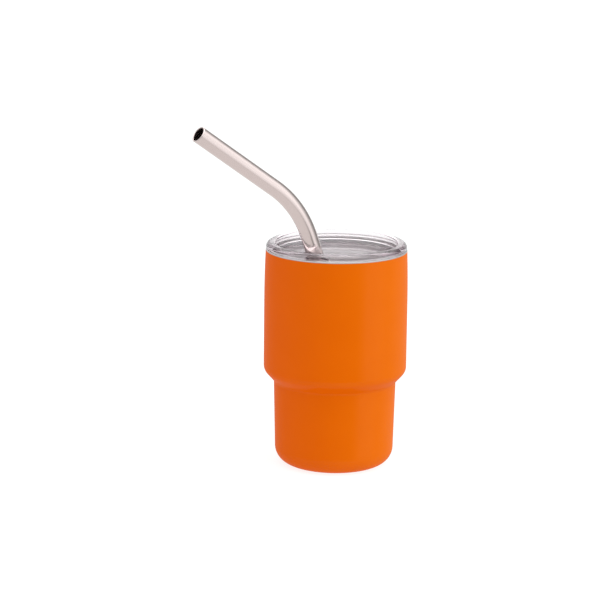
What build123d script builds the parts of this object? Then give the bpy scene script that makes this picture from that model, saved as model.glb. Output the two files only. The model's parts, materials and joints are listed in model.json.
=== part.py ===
from build123d import *
from math import cos, radians, sin, tan
import os

# Small double-wall steel tumbler with a clear press-in lid and a bent steel straw.
# Millimetres. +Z up, Z is the cup's axis, and the foot stands on Z = 0.
# Every turned piece is a section in the XZ plane, (radius, height), revolved about Z.

# --- painted outer wall -------------------------------------------------------
steel = 0.5
body_radius = 26.0
mouth_radius = 25.6
shell_top = 79.3
mouth_taper_bottom = 60.8
shoulder_top = 35.0
shoulder_bottom = 30.9
waist_radius = 22.25
foot_radius = 21.5
shoulder_bend = 3.8
waist_bend = 1.5
foot_bend = 6.3
foot_lip_radius = 13.9
foot_lip_height = 2.2
foot_lip_bend = 0.7

# --- bare inner wall ----------------------------------------------------------
vacuum_gap = 1.5
liner_radius = body_radius - 2 * steel - vacuum_gap
liner_outer = liner_radius + steel
liner_shoulder_top = 34.3
liner_shoulder_bottom = 30.2
liner_waist = 20.3
liner_low = 19.85
liner_seam = 12.0
liner_floor_under = 7.2
liner_bend = 3.0
liner_corner = 4.0
lip_top = shell_top + steel
lip_bend = 0.6
lip_edge = 0.35

# --- radiation shield in the vacuum ------------------------------------------
foil = 0.1
foil_bottom = 38.0
foil_top = 76.0
foil_wrap = 356

# --- vacuum base, its seal and the getter ------------------------------------
base_skirt_radius = foot_lip_radius + 2 * steel
base_skirt_bottom = 0.8
base_top = 4.4
base_bend = 1.0
dimple_top = 5.4
dimple_radius = 4.5
dimple_crown = 3.2
seal_hole = 0.8
bead_radius = 1.8
bead_drop = 0.8
bead_under = dimple_top - steel
bead_ball = (bead_radius**2 + bead_drop**2) / (2 * bead_drop)
getter_place = 9.5
getter_radius = 3.0
getter_thick = 1.2
clip_thick = 0.3
clip_length = 7.4
clip_width = 3.0
clip_finger = 1.3
clip_half = clip_length / 2
clip_top = base_top + 2 * clip_thick + getter_thick

# --- cover pressed into the foot ----------------------------------------------
cover_thick = 0.4
cover_bottom = 0.8
cover_bend = 0.8
cover_step_radius = 9.5
cover_step = 0.4
cover_step_bend = 0.5

# --- clear lid ----------------------------------------------------------------
lid_gap = 0.3
lid_crest = shell_top + 2.9
lid_floor = shell_top - 1.7
lid_floor_under = lid_floor - 1.8
lid_seat = lip_top + lid_gap
lid_rim = 25.5
lid_recess_floor = 21.2
lid_recess_top = 22.3
plug_radius = liner_radius - 0.6
plug_bottom = 73.9
plug_inner = 21.1
groove_radius = 22.1
groove_bottom = 76.6
groove_top = 78.8
straw_hole_x = -6.8
straw_hole_y = -14.5
straw_hole_radius = 3.9

# --- silicone ring in the lid's groove ----------------------------------------
ring_gap = 0.2
ring_inner = groove_radius + ring_gap
ring_bottom = groove_bottom + ring_gap
ring_top = groove_top - ring_gap
ring_web = 22.75
ring_rib = 0.45

# --- bent straw ---------------------------------------------------------------
straw_radius = 3.0
straw_wall = 0.5
straw_lean = 20.0
straw_bend = 35.0
straw_bend_radius = 38.4
straw_heading = 30.8
straw_above_lid = 10.3
straw_upper = 36.8
straw_end_height = 9.8

os.makedirs("parts", exist_ok=True)


def save(builder, name):
    """Labels a finished piece and writes its STEP file."""
    builder.part.label = name
    export_step(builder.part, f"parts/{name}.step")


# Outer shell: spun tube with a slight draw-in at the mouth, a stepped shoulder,
# a rounded foot, and a lip turned up inside the foot ring.
with BuildPart() as outer_shell:
    with BuildSketch(Plane.XZ):
        with BuildLine():
            TangentArc(
                (body_radius, mouth_taper_bottom),
                (mouth_radius, shell_top),
                tangent=(0, 1),
            )
            FilletPolyline(
                (body_radius, mouth_taper_bottom),
                (body_radius, shoulder_top),
                (waist_radius, shoulder_bottom),
                (foot_radius, 0),
                (foot_lip_radius, 0),
                (foot_lip_radius, foot_lip_height),
                radius=[shoulder_bend, waist_bend, foot_bend, foot_lip_bend],
            )
            offset(amount=steel, side=Side.LEFT)
        make_face()
    revolve(axis=Axis.Z)
save(outer_shell, "outer_shell")

# Liner wall: the same stepped form inside, turned outwards at the top into the
# bare lip that closes the two walls.
with BuildPart() as liner_wall:
    with BuildSketch(Plane.XZ):
        with BuildLine():
            FilletPolyline(
                (mouth_radius, shell_top),
                (liner_outer, shell_top),
                (liner_outer, liner_shoulder_top),
                (liner_waist, liner_shoulder_bottom),
                (liner_low, liner_seam),
                radius=[lip_bend, liner_bend, liner_bend],
            )
            offset(amount=steel, side=Side.RIGHT)
        make_face()
    revolve(axis=Axis.Z)
    lip_edges = liner_wall.edges().filter_by(GeomType.CIRCLE).group_by(Axis.Z)[-1]
    fillet(lip_edges.sort_by(SortBy.RADIUS)[-1], lip_edge)
save(liner_wall, "liner_wall")

# Liner bottom: a shallow pressed dish, butt-welded to the liner wall.
with BuildPart() as liner_bottom:
    with BuildSketch(Plane.XZ):
        with BuildLine():
            FilletPolyline(
                (liner_low, liner_seam),
                (liner_low, liner_floor_under),
                (0, liner_floor_under),
                radius=liner_corner,
            )
            offset(amount=steel, side=Side.RIGHT)
        make_face()
    revolve(axis=Axis.Z)
save(liner_bottom, "liner_bottom")

# Copper foil wrapped once round the liner, its two edges not quite meeting.
with BuildPart() as copper_foil:
    with BuildSketch(Plane.XZ):
        with Locations((liner_outer, foil_bottom)):
            Rectangle(foil, foil_top - foil_bottom, align=(Align.MIN, Align.MIN))
    revolve(axis=Axis.Z, revolution_arc=foil_wrap)
save(copper_foil, "copper_foil")

# Vacuum base: an inverted dish whose skirt is welded over the shell's foot lip,
# with a dimple and the hole that the air is drawn out of.
with BuildPart() as vacuum_base:
    with BuildSketch(Plane.XZ):
        with BuildLine():
            FilletPolyline(
                (base_skirt_radius, base_skirt_bottom),
                (base_skirt_radius, base_top),
                (dimple_radius, base_top),
                (dimple_crown, dimple_top),
                (seal_hole, dimple_top),
                radius=[base_bend, 0.8, 0.8],
            )
            offset(amount=steel, side=Side.LEFT)
        make_face()
    revolve(axis=Axis.Z)
save(vacuum_base, "vacuum_base")

# Sealing bead: glass that was melted into the dimple and plugs its hole.
with BuildPart() as sealing_bead:
    with BuildSketch(Plane.XZ):
        with BuildLine():
            Polyline(
                (0, bead_under - bead_drop),
                (0, dimple_top),
                (seal_hole, dimple_top),
                (seal_hole, bead_under),
                (bead_radius, bead_under),
            )
            RadiusArc((0, bead_under - bead_drop), (bead_radius, bead_under), -bead_ball)
        make_face()
    revolve(axis=Axis.Z)
save(sealing_bead, "sealing_bead")

# Getter holder: a spot-welded strip with a finger bent up over each end of the pellet.
with BuildPart() as getter_holder:
    with BuildSketch(Plane.XZ) as clip_section:
        with BuildLine():
            Polyline(
                (getter_place - clip_half + clip_finger, clip_top),
                (getter_place - clip_half, clip_top),
                (getter_place - clip_half, base_top),
                (getter_place + clip_half, base_top),
                (getter_place + clip_half, clip_top),
                (getter_place + clip_half - clip_finger, clip_top),
            )
            offset(amount=clip_thick, side=Side.LEFT)
        make_face()
    extrude(amount=clip_width / 2, both=True)
save(getter_holder, "getter_holder")

# Getter pellet: the sintered disc that keeps the vacuum clean.
with BuildPart() as getter_pellet:
    with BuildSketch(Plane.XY.offset(base_top + clip_thick)):
        with Locations((getter_place, 0)):
            Circle(getter_radius)
    extrude(amount=getter_thick)
    fillet(getter_pellet.edges().filter_by(GeomType.CIRCLE), 0.25)
save(getter_pellet, "getter_pellet")

# Base cover: a pressed disc with an upturned edge, set up inside the foot ring.
with BuildPart() as base_cover:
    with BuildSketch(Plane.XZ):
        with BuildLine():
            FilletPolyline(
                (0, cover_bottom + cover_step),
                (cover_step_radius - cover_step, cover_bottom + cover_step),
                (cover_step_radius, cover_bottom),
                (foot_lip_radius, cover_bottom),
                (foot_lip_radius, foot_lip_height),
                radius=[cover_step_bend, cover_step_bend, cover_bend],
            )
            offset(amount=cover_thick, side=Side.LEFT)
        make_face()
    revolve(axis=Axis.Z)
save(base_cover, "base_cover")

# Lid body: clear moulding with a thick rounded rim, a recessed floor with the
# straw hole, and a plug with the groove for its sealing ring.
with BuildPart() as lid_body:
    with BuildSketch(Plane.XZ):
        with BuildLine():
            FilletPolyline(
                (0, lid_floor),
                (lid_recess_floor, lid_floor),
                (lid_recess_top, lid_crest),
                (lid_rim, lid_crest),
                (lid_rim, lid_seat),
                (plug_radius, lid_seat),
                (plug_radius, groove_top),
                (groove_radius, groove_top),
                (groove_radius, groove_bottom),
                (plug_radius, groove_bottom),
                (plug_radius, plug_bottom),
                (plug_inner, plug_bottom),
                (plug_inner, lid_floor_under),
                (0, lid_floor_under),
                radius=[0, 0.8, 0.9, 1.7, 0.3, 0.2, 0, 0, 0, 0, 0.4, 0.3, 0.6, 0],
                close=True,
            )
        make_face()
    revolve(axis=Axis.Z)
    with BuildSketch(Plane.XY.offset(lid_floor)):
        with Locations((straw_hole_x, straw_hole_y)):
            Circle(straw_hole_radius)
    extrude(amount=lid_floor_under - lid_floor, mode=Mode.SUBTRACT)
    hole_edges = lid_body.edges().filter_by(GeomType.CIRCLE).filter_by(
        lambda edge: abs(edge.radius - straw_hole_radius) < 0.01
    )
    fillet(hole_edges, 0.3)
save(lid_body, "lid_body")

# Lid gasket: silicone ring with two ribs that press on the liner.
with BuildPart() as lid_gasket:
    with BuildSketch(Plane.XZ):
        with Locations((ring_inner, ring_bottom)):
            Rectangle(
                ring_web - ring_inner,
                ring_top - ring_bottom,
                align=(Align.MIN, Align.MIN),
            )
        with Locations(
            (ring_web, ring_bottom + ring_rib),
            (ring_web, ring_top - ring_rib),
        ):
            Circle(ring_rib)
    revolve(axis=Axis.Z)
save(lid_gasket, "lid_gasket")

# Straw: one tube, straight through the lid, bent once outside, then straight to its tip.
straw_plane = Plane(
    origin=(straw_hole_x, straw_hole_y, lid_floor),
    x_dir=Vector(-1, 0, 0).rotate(Axis.Z, straw_heading),
    z_dir=Vector(0, 1, 0).rotate(Axis.Z, straw_heading),
)
lower_tilt = radians(straw_lean)
upper_tilt = radians(straw_lean + straw_bend)
straw_below_lid = (lid_floor - straw_end_height) / cos(lower_tilt)
bend_reach = straw_bend_radius * tan(radians(straw_bend / 2))
lower_run = straw_above_lid + bend_reach
upper_run = bend_reach + straw_upper
corner_out = lower_run * sin(lower_tilt)
corner_up = lower_run * cos(lower_tilt)
with BuildPart() as straw:
    with BuildLine(straw_plane) as straw_line:
        FilletPolyline(
            (-straw_below_lid * sin(lower_tilt), -straw_below_lid * cos(lower_tilt)),
            (corner_out, corner_up),
            (corner_out + upper_run * sin(upper_tilt), corner_up + upper_run * cos(upper_tilt)),
            radius=straw_bend_radius,
        )
    with BuildSketch(Plane(straw_line.line @ 0, z_dir=straw_line.line % 0)):
        Circle(straw_radius)
        Circle(straw_radius - straw_wall, mode=Mode.SUBTRACT)
    sweep()
    tip_edges = straw.faces().filter_by(GeomType.PLANE).edges()
    fillet(tip_edges, 0.15)
save(straw, "straw")
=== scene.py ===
import json
import math

import bmesh
import bpy
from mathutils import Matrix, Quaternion, Vector


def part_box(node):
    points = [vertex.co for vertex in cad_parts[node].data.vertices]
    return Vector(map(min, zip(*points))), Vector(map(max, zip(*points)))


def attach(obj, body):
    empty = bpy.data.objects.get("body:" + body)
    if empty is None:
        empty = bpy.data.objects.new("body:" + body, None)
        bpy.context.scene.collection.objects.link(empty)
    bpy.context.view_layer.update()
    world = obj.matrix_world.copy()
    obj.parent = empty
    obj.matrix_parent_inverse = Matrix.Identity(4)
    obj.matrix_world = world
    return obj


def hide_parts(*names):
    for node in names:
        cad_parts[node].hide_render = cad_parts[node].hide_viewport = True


# Small insulated straw tumbler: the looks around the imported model. Metres, +Z up. The cup's
# axis is Z, its foot stands on Z = 0, and the straw leans to -X and towards the viewer at -Y.

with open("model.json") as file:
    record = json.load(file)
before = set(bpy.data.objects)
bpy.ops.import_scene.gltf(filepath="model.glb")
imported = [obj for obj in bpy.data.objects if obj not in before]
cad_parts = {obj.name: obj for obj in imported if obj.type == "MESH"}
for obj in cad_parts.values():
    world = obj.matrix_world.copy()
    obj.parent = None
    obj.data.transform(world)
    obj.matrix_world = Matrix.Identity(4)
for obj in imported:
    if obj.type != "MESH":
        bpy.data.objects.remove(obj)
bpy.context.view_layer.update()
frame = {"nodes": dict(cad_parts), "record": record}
NODES = frame["nodes"]
RECORD = frame["record"]
MM = 0.001
SUPPORT = 0.12 * MM
BEVEL = 0.06 * MM

# --- outlines read from the frame ---------------------------------------------------


def section_of(node):
    """A turned node's outline where it meets the plane Y = 0, X > 0: its (radius, height)
    points in order, and whether it ends at flat discs that reach the axis."""
    on_plane = {}
    for vertex in NODES[node].data.vertices:
        x, y, z = vertex.co
        if abs(y) < 1e-7 and x > 1e-7:
            on_plane[vertex.index] = (round(x, 7), round(z, 7))
    neighbours = {}
    for edge in NODES[node].data.edges:
        a, b = (on_plane.get(i) for i in edge.vertices)
        if a and b and a != b:
            neighbours.setdefault(a, set()).add(b)
            neighbours.setdefault(b, set()).add(a)
    ends = sorted(p for p, near in neighbours.items() if len(near) == 1)
    chain, last = [ends[0] if ends else min(neighbours)], None
    while True:
        onward = [p for p in sorted(neighbours[chain[-1]]) if p != last and p not in chain[1:]]
        onward = [p for p in onward if p != chain[0] or len(chain) > 2]
        if not onward or onward[0] == chain[0]:
            break
        last = chain[-1]
        chain.append(onward[0])
    return [Vector(p) for p in chain], bool(ends)


def turn_at(points, i, closed):
    """The signed angle that an outline turns through at its point i."""
    if not closed and i in (0, len(points) - 1):
        return 0.0
    before = points[i] - points[i - 1]
    after = points[(i + 1) % len(points)] - points[i]
    return math.atan2(before.x * after.y - before.y * after.x, before.dot(after))


def eased(points, closed, bevel=BEVEL, sharp=math.radians(40)):
    """Breaks every sharp corner of an outline with a small rounded edge."""
    made = []
    for i, point in enumerate(points):
        if abs(turn_at(points, i, closed)) < sharp:
            made.append(point)
            continue
        before, after = points[i - 1], points[(i + 1) % len(points)]
        cut = min(bevel, 0.4 * (before - point).length, 0.4 * (after - point).length)
        start = point + cut * (before - point).normalized()
        end = point + cut * (after - point).normalized()
        made += [start, (start + 2 * point + end) / 4, end]
    return made


def rounded(points, closed, longest=1.3 * MM, gentle=math.radians(16)):
    """Halves the short chords of an outline's round stretches, out on their arcs."""
    made = []
    count = len(points)
    for i in range(count):
        made.append(points[i])
        if not closed and i == count - 1:
            continue
        chord = points[(i + 1) % count] - points[i]
        turns = (turn_at(points, i, closed), turn_at(points, (i + 1) % count, closed))
        turn = max(turns, key=abs)
        if chord.length > longest or not 0.01 < abs(turn) < gentle:
            continue
        if turns[0] * turns[1] < 0:
            continue
        outwards = Vector((chord.y, -chord.x)).normalized()
        made.append(points[i] + chord / 2 + outwards * chord.length / 2 * math.tan(turn / 4))
    return made


def supported(points, closed, longest=0.9 * MM, margin=SUPPORT):
    """Adds a point near both ends of each long straight, which keeps its shading straight."""
    made = []
    for i, point in enumerate(points):
        made.append(point)
        if not closed and i == len(points) - 1:
            continue
        side = points[(i + 1) % len(points)] - point
        if side.length > longest:
            step = side.normalized() * margin
            made += [point + step, point + side - step]
    return made


def outline_of(node):
    """A turned node's refined outline, from disc to disc if it reaches the axis."""
    points, reaches_axis = section_of(node)
    points = eased(points, not reaches_axis)
    points = rounded(points, not reaches_axis)
    return supported(points, not reaches_axis), reaches_axis


# --- meshes -------------------------------------------------------------------------

AROUND = 192
DISC_STEPS = (0.0, 0.3, 0.65, 0.9)
HOLE_RADIUS = 3.9 * MM
HOLE_EASE = 0.3 * MM


def skin(name, rings, lengths, closed, body, nodes):
    """A smooth closed mesh through rings of points (one point is a pole), with a UV map: u once
    round each ring, v the given length along. It rides on the body and stands for the nodes."""
    bm = bmesh.new()
    made = [[bm.verts.new(point) for point in points] for points in rings]
    uv = bm.loops.layers.uv.new("UVMap")
    pairs = list(zip(made, made[1:], lengths, lengths[1:]))
    if closed:
        pairs.append((made[-1], made[0], lengths[-1], lengths[-1]))
    for low, high, v_low, v_high in pairs:
        count = max(len(low), len(high))
        for i in range(count):
            j = (i + 1) % count
            u, u_next = i / count, (i + 1) / count
            corners = [(low[0], u, v_low)]
            if len(low) > 1:
                corners = [(low[i], u, v_low), (low[j], u_next, v_low)]
            if len(high) > 1:
                corners += [(high[j], u_next, v_high), (high[i], u, v_high)]
            else:
                corners.append((high[0], u, v_high))
            face = bm.faces.new([vertex for vertex, _, _ in corners])
            face.smooth = True
            for loop, (_, u_corner, v_corner) in zip(face.loops, corners):
                loop[uv].uv = (u_corner, v_corner)
    bmesh.ops.recalc_face_normals(bm, faces=bm.faces)
    mesh = bpy.data.meshes.new(name)
    bm.to_mesh(mesh)
    bm.free()
    piece = bpy.data.objects.new(name, mesh)
    bpy.context.scene.collection.objects.link(piece)
    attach(piece, body)
    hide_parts(*nodes)
    return piece


def ring(radius, height):
    """Points round the axis at a radius and a height."""
    turns = (2 * math.pi * i / AROUND for i in range(AROUND))
    return [Vector((radius * math.cos(t), radius * math.sin(t), height)) for t in turns]


def along(points):
    """The length along an outline at each of its points."""
    lengths = [0.0]
    for a, b in zip(points, points[1:]):
        lengths.append(lengths[-1] + (b - a).length)
    return lengths


def turned(name, body, node):
    """A turned node again, finer, as a piece of its own."""
    points, reaches_axis = outline_of(node)
    if reaches_axis:
        head, tail = points[0], points[-1]
        points = [Vector((k * head.x, head.y)) for k in DISC_STEPS] + points
        points += [Vector((k * tail.x, tail.y)) for k in reversed(DISC_STEPS)]
    rings = [ring(r, z) if r > 1e-9 else [Vector((0, 0, z))] for r, z in points]
    return skin(name, rings, along(points), not reaches_axis, body, [node])


def floor_ring(outer, hole_centre, radius, height):
    """Points round the straw hole, each in line with its point on the outer ring."""
    middle = Vector((hole_centre[0], hole_centre[1], height))
    made = []
    for point in outer:
        heading = point - middle
        heading.z = 0
        made.append(middle + radius * heading.normalized())
    return made


def lid_piece():
    """The clear lid: its turned outline, closed across the floor to the straw hole's rim."""
    points, _ = outline_of("lid_body")
    if points[0].y < points[-1].y:
        points.reverse()
    top, under = points[0], points[-1]
    lower_end, lower_way = straw_lower_leg()
    centre = lower_end + lower_way * (top.y - lower_end.z) / lower_way.z
    outer_top, outer_under = ring(*top), ring(*under)
    quarter = [math.pi / 2 * i / 6 for i in range(7)]
    below = [(HOLE_EASE + SUPPORT, 0.0)]
    below += [(HOLE_EASE * (1 - math.sin(t)), HOLE_EASE * (1 - math.cos(t))) for t in quarter]
    rings = [floor_ring(outer_under, centre, HOLE_RADIUS + out, under.y + up) for out, up in below]
    rings += [floor_ring(outer_top, centre, HOLE_RADIUS + out, top.y - up) for out, up in reversed(below)]
    rings.append(ring(top.x - SUPPORT, top.y))
    rings += [ring(r, z) for r, z in points]
    rings.append(ring(under.x - SUPPORT, under.y))
    lengths = along([r[0] for r in rings])
    return skin("clear_lid", rings, lengths, True, "lid", ["lid_body"])


# --- straw --------------------------------------------------------------------------

STRAW_AROUND = 72
STRAW_RADIUS = 3.0 * MM
STRAW_BORE = 2.5 * MM
TIP_EASE = 0.15 * MM
SPACER = 0.3 * MM


def straw_lower_leg():
    """The middle of the straw's lower end and the direction of its lower leg, upwards."""
    joint = next(j for j in RECORD["behaviour"]["joints"] if j["name"] == "straw_pull")
    way = Vector(joint["axis"]).normalized()
    reach = [(vertex.co.dot(way), vertex.co) for vertex in NODES["straw"].data.vertices]
    lowest = min(distance for distance, _ in reach)
    rim = [point for distance, point in reach if distance < lowest + 1e-6]
    return sum(rim, Vector()) / len(rim), way


class StrawLine:
    """The straw's centre line: a straight leg, a bend and a straight leg to the tip."""

    def __init__(self):
        tip = next(m for m in RECORD["mounts"] if m["name"] == "straw_tip")
        self.start, self.way = straw_lower_leg()
        straight, upper_way = tip["dims"]["length_mm"] * MM, Vector(tip["axis"]).normalized()
        upper_start = Vector(tip["pos_m"]) - upper_way * straight / 2
        self.normal = self.way.cross(upper_way).normalized()
        self.towards = self.normal.cross(self.way)
        self.angle = self.way.angle(upper_way)
        across = (upper_start - self.start).dot(self.towards)
        reach = across / math.sin(self.angle)
        corner = upper_start - reach * upper_way
        self.radius = reach / math.tan(self.angle / 2)
        self.lower = (corner - self.start).dot(self.way) - reach
        self.bend = self.radius * self.angle
        self.upper = straight + TIP_EASE
        self.length = self.lower + self.bend + self.upper

    def place(self, distance):
        """The centre and the two directions across the straw at a distance from its lower end."""
        turned_by = min(max(distance - self.lower, 0.0), self.bend) / self.radius
        way = math.cos(turned_by) * self.way + math.sin(turned_by) * self.towards
        side = math.cos(turned_by) * self.towards - math.sin(turned_by) * self.way
        centre = self.start + min(distance, self.lower) * self.way
        centre += self.radius * (math.sin(turned_by) * self.way + (1 - math.cos(turned_by)) * self.towards)
        centre += max(distance - self.lower - self.bend, 0.0) * way
        return centre, side

    def ring(self, distance, radius):
        centre, side = self.place(distance)
        turns = (2 * math.pi * i / STRAW_AROUND for i in range(STRAW_AROUND))
        return [centre + radius * (math.cos(t) * side + math.sin(t) * self.normal) for t in turns]

    def stations(self, margin):
        """Distances along the straw, close together round the bend."""
        marks = [margin, margin + SPACER]
        marks += [self.lower * k / 12 for k in range(1, 12)] + [self.lower - SPACER]
        marks += [self.lower + self.bend * k / 36 for k in range(0, 37)]
        marks += [self.lower + self.bend + SPACER]
        marks += [self.lower + self.bend + self.upper * k / 8 for k in range(1, 8)]
        return marks + [self.length - margin - SPACER, self.length - margin]


def straw_piece():
    """The bent straw: outside, rounded tip, bore and rounded lower end in one skin."""
    line = StrawLine()
    quarter = [math.pi / 2 * k / 4 for k in range(1, 5)]
    outside = [(distance, STRAW_RADIUS) for distance in line.stations(TIP_EASE)]
    over = [(TIP_EASE * math.sin(t), STRAW_RADIUS - TIP_EASE * (1 - math.cos(t))) for t in quarter]
    over += [(TIP_EASE * math.sin(t), STRAW_BORE + TIP_EASE * (1 - math.cos(t))) for t in reversed(quarter)]
    tip = [(line.length - TIP_EASE + out, radius) for out, radius in over]
    bore = [(distance, STRAW_BORE) for distance in reversed(line.stations(TIP_EASE))]
    lower = [(TIP_EASE - out, radius) for out, radius in reversed(over)]
    marks = outside + tip + bore + lower
    rings = [line.ring(distance, radius) for distance, radius in marks]
    lengths = along([Vector(mark) for mark in marks])
    return skin("bent_straw", rings, lengths, True, "straw", ["straw"])


# --- node helpers -------------------------------------------------------------------


class Nodes:
    """A node tree being put together."""

    def __init__(self, tree):
        self.tree = tree

    def add(self, kind, inputs=(), **settings):
        """A new node. Inputs are named or numbered, and each is a value or another's socket."""
        made = self.tree.nodes.new("ShaderNode" + kind)
        for key, value in settings.items():
            setattr(made, key, value)
        self.feed(made, dict(inputs))
        return made

    def feed(self, node, inputs):
        for key, value in inputs.items():
            if isinstance(value, bpy.types.NodeSocket):
                self.tree.links.new(value, node.inputs[key])
            else:
                node.inputs[key].default_value = value

    def maths(self, operation, *values):
        return self.add("Math", enumerate(values), operation=operation).outputs[0]

    def noise(self, vector, scale, detail=2.0, roughness=0.5):
        inputs = {"Vector": vector, "Scale": scale, "Detail": detail, "Roughness": roughness}
        return self.add("TexNoise", inputs).outputs["Fac"]

    def between(self, amount, low, high, start=0.0, end=1.0):
        """A number that runs smoothly from low to high as the amount goes from start to end."""
        inputs = {"Value": amount, "From Min": start, "From Max": end, "To Min": low, "To Max": high}
        return self.add("MapRange", inputs, interpolation_type="SMOOTHSTEP").outputs["Result"]

    def blend(self, amount, first, second):
        """A colour from first to second."""
        mix = self.add("Mix", {0: amount, 6: first, 7: second}, data_type="RGBA")
        return mix.outputs[2]

    def bump(self, height, depth):
        inputs = {"Height": height, "Distance": depth, "Strength": 1.0}
        return self.add("Bump", inputs).outputs["Normal"]


class Finish(Nodes):
    """A material: the nodes behind its Principled surface."""

    def __init__(self, name):
        self.material = bpy.data.materials.new(name)
        self.material.use_nodes = True
        super().__init__(self.material.node_tree)
        self.surface = self.tree.nodes["Principled BSDF"]
        self.coords = self.add("TexCoord")
        self.place = self.coords.outputs["Object"]

    def set(self, **inputs):
        self.feed(self.surface, {key.replace("_", " "): value for key, value in inputs.items()})

    def round_the_axis(self, spacing, drift):
        """Coordinates for marks that run round the axis: fine across, slow along."""
        axes = self.add("SeparateXYZ", {"Vector": self.place}).outputs
        radius = self.maths("SQRT", self.maths("ADD", self.maths("MULTIPLY", axes["X"], axes["X"]),
                                               self.maths("MULTIPLY", axes["Y"], axes["Y"])))
        across = self.maths("DIVIDE", self.maths("ADD", radius, axes["Z"]), spacing)
        safe = self.maths("MAXIMUM", radius, 1e-4)
        cosine = self.maths("MULTIPLY", self.maths("DIVIDE", axes["X"], safe), drift)
        sine = self.maths("MULTIPLY", self.maths("DIVIDE", axes["Y"], safe), drift)
        return self.add("CombineXYZ", {"X": across, "Y": cosine, "Z": sine}).outputs["Vector"]


def dress(piece, finish):
    mesh = piece.data
    mesh.materials.clear()
    mesh.materials.append(finish.material)


# --- materials ----------------------------------------------------------------------

LINE_DEPTH = 0.006 * MM
SMOKE_COLOUR = (0.6, 0.4, 0.5, 1)
SMOKE_DENSITY = 65.0


def orange_paint():
    """Sprayed enamel over steel: thin clear coat, faint orange peel, fine grain, drifting colour."""
    m = Finish("orange_paint")
    drift = m.noise(m.place, 90.0, 3.0)
    colour = m.blend(drift, (0.688, 0.100, 0.0006, 1), (0.718, 0.109, 0.0010, 1))
    peel = m.noise(m.place, 1100.0, 2.0)
    grain = m.noise(m.place, 5200.0, 1.0)
    height = m.maths("ADD", peel, m.maths("MULTIPLY", grain, 0.15))
    normal = m.bump(height, 0.006 * MM)
    m.set(Base_Color=colour, Roughness=m.between(drift, 0.28, 0.36), Normal=normal)
    m.set(IOR=1.5, Specular_IOR_Level=0.0, Coat_Weight=0.15, Coat_Roughness=0.09)
    m.feed(m.surface, {"Coat Normal": normal})
    return m


def bare_steel(name, colour, roughness):
    """Stainless steel turned on a lathe: fine lines round the axis and a soft uneven polish."""
    m = Finish(name)
    lines = m.noise(m.round_the_axis(0.12 * MM, 1.6), 1.0, 4.0, 0.7)
    clouds = m.noise(m.place, 160.0, 3.0)
    shade = m.maths("ADD", m.maths("MULTIPLY", lines, 0.7), m.maths("MULTIPLY", clouds, 0.3))
    dim = tuple(0.86 * part for part in colour) + (1,)
    m.colour = m.blend(m.between(shade, 0.0, 1.0, 0.25, 0.75), dim, colour + (1,))
    m.set(Base_Color=m.colour, Metallic=1.0, Normal=m.bump(lines, LINE_DEPTH))
    m.set(Roughness=m.between(shade, roughness - 0.05, roughness + 0.07, 0.2, 0.8))
    return m


def liner_steel():
    """The bright satin inside of the cup, with painted shade at its top rim: a darker grey colour there."""
    m = bare_steel("liner_steel", (0.87, 0.83, 0.83), 0.5)
    lip_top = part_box("liner_wall")[1][2]
    height = m.add("SeparateXYZ", {"Vector": m.place}).outputs["Z"]
    painted_rim_shade = m.between(height, 0.0, 1.0, lip_top - 1.2 * MM, lip_top - 0.6 * MM)
    # Painted shade: the top of the liner is darkened to grey. It stands in for the dark outline seen
    # through the lid's rim.
    m.set(Base_Color=m.blend(painted_rim_shade, m.colour, (0.50, 0.48, 0.49, 1)))
    return m


def straw_steel():
    """Polished drawn tube: very fine lines round it, a few lengthwise hairlines, soft mottle, and a painted
    pink cast standing in for orange light reflected from the cup.
    """
    m = Finish("straw_steel")
    uv = m.add("SeparateXYZ", {"Vector": m.coords.outputs["UV"]}).outputs
    turn = m.maths("MULTIPLY", uv["X"], 2 * math.pi)
    cosine, sine = m.maths("COSINE", turn), m.maths("SINE", turn)
    across = m.maths("DIVIDE", uv["Y"], 0.09 * MM)
    rings = m.add("CombineXYZ", {"X": across, "Y": m.maths("MULTIPLY", cosine, 0.8),
                                 "Z": m.maths("MULTIPLY", sine, 0.8)}).outputs["Vector"]
    lines = m.noise(rings, 1.0, 3.0, 0.65)
    lengthwise = m.maths("DIVIDE", uv["Y"], 9 * MM)
    hairs = m.add("CombineXYZ", {"X": lengthwise, "Y": m.maths("MULTIPLY", cosine, 40.0),
                                 "Z": m.maths("MULTIPLY", sine, 40.0)}).outputs["Vector"]
    hairlines = m.noise(hairs, 1.0, 2.0)
    mottle = m.noise(m.place, 420.0, 3.0, 0.6)
    height = m.maths("ADD", lines, m.maths("MULTIPLY", hairlines, 0.4))
    # Painted reflection: both steel tones carry a pink cast that stands in for orange light bounced from
    # the painted cup. The mottle between them is the steel's own.
    m.set(Base_Color=m.blend(mottle, (0.60, 0.515, 0.50, 1), (0.66, 0.57, 0.555, 1)))
    m.set(Metallic=1.0, Roughness=m.between(mottle, 0.13, 0.21, 0.2, 0.8))
    m.set(Normal=m.bump(height, 0.0016 * MM))
    return m


def clear_plastic():
    """Clear moulded plastic: a little tint, flow waves too low to feel, fine wipe marks."""
    m = Finish("clear_plastic")
    waves = m.noise(m.place, 110.0, 2.0)
    marks = m.noise(m.place, 900.0, 4.0, 0.7)
    m.set(Base_Color=(0.985, 0.985, 0.985, 1), Roughness=m.between(marks, 0.012, 0.05, 0.45, 0.8))
    m.set(Metallic=0.0, IOR=1.49, Transmission_Weight=1.0)
    m.set(Normal=m.bump(waves, 0.035 * MM))
    smoke = m.add("VolumeAbsorption", {"Color": SMOKE_COLOUR, "Density": SMOKE_DENSITY})
    m.tree.links.new(smoke.outputs["Volume"], m.tree.nodes["Material Output"].inputs["Volume"])
    return m


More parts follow.
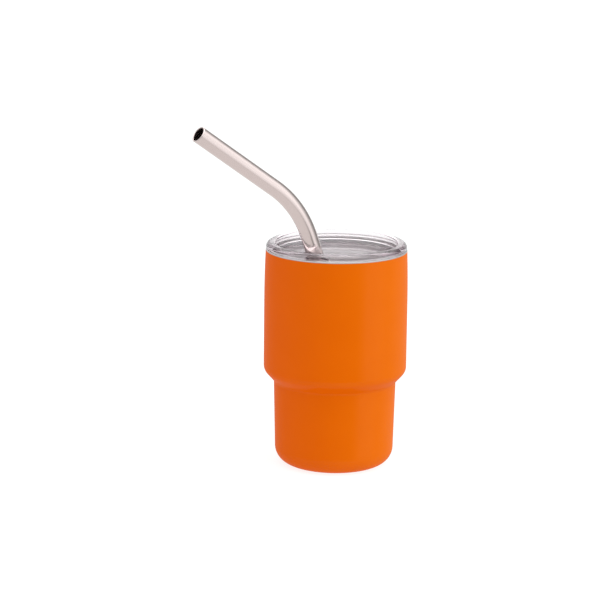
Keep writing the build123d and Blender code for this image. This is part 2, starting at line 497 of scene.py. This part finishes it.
def silicone():
    """Milky silicone rubber with a dusty bloom."""
    m = Finish("milky_silicone")
    bloom = m.noise(m.place, 700.0, 4.0, 0.6)
    m.set(Base_Color=m.blend(bloom, (0.84, 0.80, 0.82, 1), (0.92, 0.89, 0.91, 1)))
    m.set(Roughness=m.between(bloom, 0.28, 0.5), Metallic=0.0, IOR=1.41, Transmission_Weight=0.15)
    m.set(Subsurface_Weight=0.25, Subsurface_Radius=(0.8, 0.75, 0.8), Subsurface_Scale=0.002)
    m.set(Normal=m.bump(bloom, 0.01 * MM))
    return m


def copper_foil():
    """Thin rolled copper: wrinkles from wrapping, warm and cool patches."""
    m = Finish("copper_foil")
    creases = m.add("TexVoronoi", {"Vector": m.place, "Scale": 130.0}, feature="DISTANCE_TO_EDGE")
    crease = m.between(creases.outputs["Distance"], 1.0, 0.0, 0.0, 0.12)
    ripple = m.noise(m.place, 320.0, 3.0)
    patches = m.noise(m.place, 60.0, 2.0)
    m.set(Base_Color=m.blend(patches, (0.86, 0.42, 0.26, 1), (0.93, 0.55, 0.38, 1)), Metallic=1.0)
    m.set(Roughness=m.between(patches, 0.2, 0.34))
    m.set(Normal=m.bump(m.maths("ADD", crease, ripple), 0.05 * MM))
    return m


def solder_glass():
    """Dull grey-green sealing glass with small bubbles."""
    m = Finish("solder_glass")
    bubbles = m.add("TexVoronoi", {"Vector": m.place, "Scale": 2600.0}).outputs["Distance"]
    cloud = m.noise(m.place, 900.0, 3.0)
    m.set(Base_Color=m.blend(cloud, (0.12, 0.15, 0.13, 1), (0.23, 0.27, 0.24, 1)), Metallic=0.0)
    m.set(Roughness=m.between(cloud, 0.12, 0.3), Coat_Weight=0.5, Coat_Roughness=0.08)
    m.set(Normal=m.bump(m.between(bubbles, 0.0, 1.0, 0.0, 0.35), 0.02 * MM))
    return m


def getter_metal():
    """Sintered getter: dark, grainy and porous."""
    m = Finish("sintered_getter")
    grains = m.add("TexVoronoi", {"Vector": m.place, "Scale": 5200.0}).outputs["Distance"]
    pores = m.noise(m.place, 3000.0, 4.0, 0.7)
    m.set(Base_Color=m.blend(pores, (0.05, 0.05, 0.055, 1), (0.17, 0.165, 0.16, 1)), Metallic=0.6)
    m.set(Roughness=m.between(pores, 0.55, 0.85), Normal=m.bump(m.maths("ADD", grains, pores), 0.05 * MM))
    return m


def raw_steel():
    """Pressed steel inside the foot: mill grain, drawing lines and a blue-brown heat tint."""
    m = Finish("raw_steel")
    axes = m.add("SeparateXYZ", {"Vector": m.place}).outputs
    flat = m.add("CombineXYZ", {"X": axes["X"], "Y": axes["Y"]}).outputs["Vector"]
    radius = m.add("VectorMath", {0: flat}, operation="LENGTH").outputs["Value"]
    tint = m.between(radius, 0.0, 1.0, 12.5 * MM, 14.2 * MM)
    grain = m.noise(m.place, 1500.0, 5.0, 0.7)
    plain = m.blend(grain, (0.44, 0.43, 0.42, 1), (0.58, 0.57, 0.56, 1))
    heated = m.blend(grain, (0.42, 0.30, 0.20, 1), (0.30, 0.30, 0.38, 1))
    lines = m.noise(m.round_the_axis(0.2 * MM, 2.0), 1.0, 3.0, 0.6)
    m.set(Base_Color=m.blend(tint, plain, heated), Metallic=1.0, Roughness=m.between(grain, 0.32, 0.5))
    m.set(Normal=m.bump(m.maths("ADD", grain, lines), 0.006 * MM))
    return m


# --- the object ---------------------------------------------------------------------


def cup():
    inner = liner_steel()
    dress(turned("painted_shell", "cup", "outer_shell"), orange_paint())
    dress(turned("liner_tube", "cup", "liner_wall"), inner)
    dress(turned("liner_dish", "cup", "liner_bottom"), inner)
    cover = bare_steel("cover_steel", (0.70, 0.68, 0.67), 0.26)
    dress(turned("foot_cover", "cup", "base_cover"), cover)
    hidden = raw_steel()
    dress(turned("vacuum_dish", "cup", "vacuum_base"), hidden)
    dress(turned("seal_bead", "cup", "sealing_bead"), solder_glass())
    dress(NODES["getter_holder"], hidden)
    dress(NODES["getter_pellet"], getter_metal())
    dress(NODES["copper_foil"], copper_foil())


def lid():
    dress(lid_piece(), clear_plastic())
    dress(turned("sealing_ring", "gasket", "lid_gasket"), silicone())


cup()
lid()
dress(straw_piece(), straw_steel())

# --- camera -------------------------------------------------------------------------

lens = 148.0
sensor_width = 36.0
camera_distance = 0.9
camera_rise = math.radians(13.95)
camera_roll = math.radians(0.64)
camera_target = Vector((0, 0, 0.04))
camera_aim = Vector((-0.0130, 0, 0.0604))


def camera():
    data = bpy.data.cameras.new("camera")
    data.lens = lens
    data.sensor_width = sensor_width
    data.clip_start = 0.05
    data.clip_end = 20
    made = bpy.data.objects.new("camera", data)
    bpy.context.scene.collection.objects.link(made)
    bpy.context.scene.camera = made
    from_target = Vector((0, -math.cos(camera_rise), math.sin(camera_rise)))
    made.location = camera_target + camera_distance * from_target
    made.rotation_mode = "QUATERNION"
    look = (camera_aim - made.location).to_track_quat("-Z", "Y")
    made.rotation_quaternion = look @ Quaternion((0, 0, 1), camera_roll)


camera()

# --- studio -------------------------------------------------------------------------

# How bright the studio is in mirror-like reflections, by direction: 0 is the viewer's side,
# 90 the right, 180 behind the cup. One band is below eye level, the other above it leans.
LOW_BAND = (
    (-180, 1.0), (-150, 0.95), (-120, 0.8), (-85, 0.72), (-62, 0.5), (-42, 0.3), (-22, 0.12), (-8, 0.02),
    (34, 0.02), (44, 0.5), (52, 1.3), (74, 1.25), (92, 0.75), (110, 0.95), (126, 1.1), (180, 1.0),
)
HIGH_BAND = (
    (-180, 1.0), (-150, 0.95), (-120, 0.85), (-90, 0.8), (-62, 0.8), (40, 0.8), (60, 1.1), (75, 1.35),
    (84, 1.65), (88, 1.7), (91, 1.55), (98, 1.08), (111, 0.6), (120, 0.46), (133, 0.3), (145, 0.36),
    (158, 0.7), (166, 0.95), (180, 1.0),
)
STUDIO_PEAK = 1.8
SLANT = 60 / 360
CEILING = 2.3
TABLE = (1.0, 0.985, 0.97, 1)
KEY_WAY = Vector((0.95, -0.28, 0.33)).normalized()
KEY_COLOUR = (0.95, 2.2, 1.9)
BACKDROP = (1, 1, 1, 1)
FLOOR_SIZE = 12.0
FLOOR_GLOW = 0.84


def band(n, turn, stops_wanted):
    """Brightness by direction, from a ramp."""
    ramp = n.add("ValToRGB", {"Fac": turn})
    stops = ramp.color_ramp.elements
    stops.remove(stops[1])
    for i, (degrees, brightness) in enumerate(stops_wanted):
        place = (degrees + 180) / 360
        stop = stops[0] if i == 0 else stops.new(place)
        stop.position = place
        level = brightness / STUDIO_PEAK
        stop.color = (level, level, level, 1)
    return n.maths("MULTIPLY", ramp.outputs["Color"], STUDIO_PEAK)


def studio_world():
    """A white backdrop. Reflections see soft boxes and dark flags, and matt surfaces see an even
    light, brighter from above, with a blue-green key light from the right."""
    world = bpy.data.worlds.new("studio")
    bpy.context.scene.world = world
    world.use_nodes = True
    n = Nodes(world.node_tree)
    direction = n.add("TexCoord").outputs["Generated"]
    axes = n.add("SeparateXYZ", {"Vector": direction}).outputs
    azimuth = n.maths("ARCTAN2", axes["X"], n.maths("MULTIPLY", axes["Y"], -1.0))
    turn = n.maths("MULTIPLY_ADD", azimuth, 1 / (2 * math.pi), 0.5)
    slanted = n.maths("ADD", turn, n.maths("MULTIPLY_ADD", axes["Z"], -SLANT, 0.2 * SLANT))
    raised = n.between(axes["Z"], 0.0, 1.0, -0.14, -0.08)
    boxes = n.blend(raised, band(n, turn, LOW_BAND), band(n, slanted, HIGH_BAND))
    ceiling = n.between(axes["Z"], 0.0, 1.0, 0.42, 0.65)
    table = n.between(axes["Z"], 1.0, 0.0, -0.42, -0.3)
    mirrored = n.blend(ceiling, boxes, (CEILING, CEILING, CEILING, 1))
    mirrored = n.blend(table, mirrored, TABLE)
    ambient = n.maths("MULTIPLY_ADD", n.maths("MAXIMUM", axes["Z"], 0.0), 0.95, 0.5)
    key = n.add("VectorMath", {0: direction, 1: KEY_WAY}, operation="DOT_PRODUCT").outputs["Value"]
    key = n.between(key, 0.0, 1.0, 0.55, 0.95)
    lit = n.add("VectorMath", {0: KEY_COLOUR, "Scale": key}, operation="SCALE").outputs["Vector"]
    soft = n.add("VectorMath", {0: lit, 1: ambient}, operation="ADD").outputs["Vector"]
    path = n.add("LightPath").outputs
    seen = n.blend(path["Is Glossy Ray"], soft, mirrored)
    seen = n.blend(path["Is Camera Ray"], seen, BACKDROP)
    n.feed(world.node_tree.nodes["Background"], {"Color": seen, "Strength": 1.0})


def floor():
    """A plain matt table, much wider than the view. Its own glow keeps it white."""
    half = FLOOR_SIZE / 2
    corners = [(-half, -half, 0), (half, -half, 0), (half, half, 0), (-half, half, 0)]
    mesh = bpy.data.meshes.new("floor")
    mesh.from_pydata(corners, [], [(0, 1, 2, 3)])
    plane = bpy.data.objects.new("floor", mesh)
    bpy.context.scene.collection.objects.link(plane)
    m = Finish("floor")
    fibres = m.noise(m.place, 200.0, 3.0)
    m.set(Base_Color=m.blend(fibres, (0.20, 0.20, 0.20, 1), (0.24, 0.24, 0.24, 1)), Roughness=1.0)
    m.set(Specular_IOR_Level=0.0, Emission_Color=(1, 1, 1, 1), Emission_Strength=FLOOR_GLOW)
    mesh.materials.append(m.material)
    plane.visible_glossy = False


studio_world()
floor()
bpy.context.scene.view_settings.view_transform = "Standard"
bpy.context.scene.cycles.max_bounces = 24
bpy.context.scene.cycles.glossy_bounces = 16
bpy.context.scene.cycles.transmission_bounces = 16
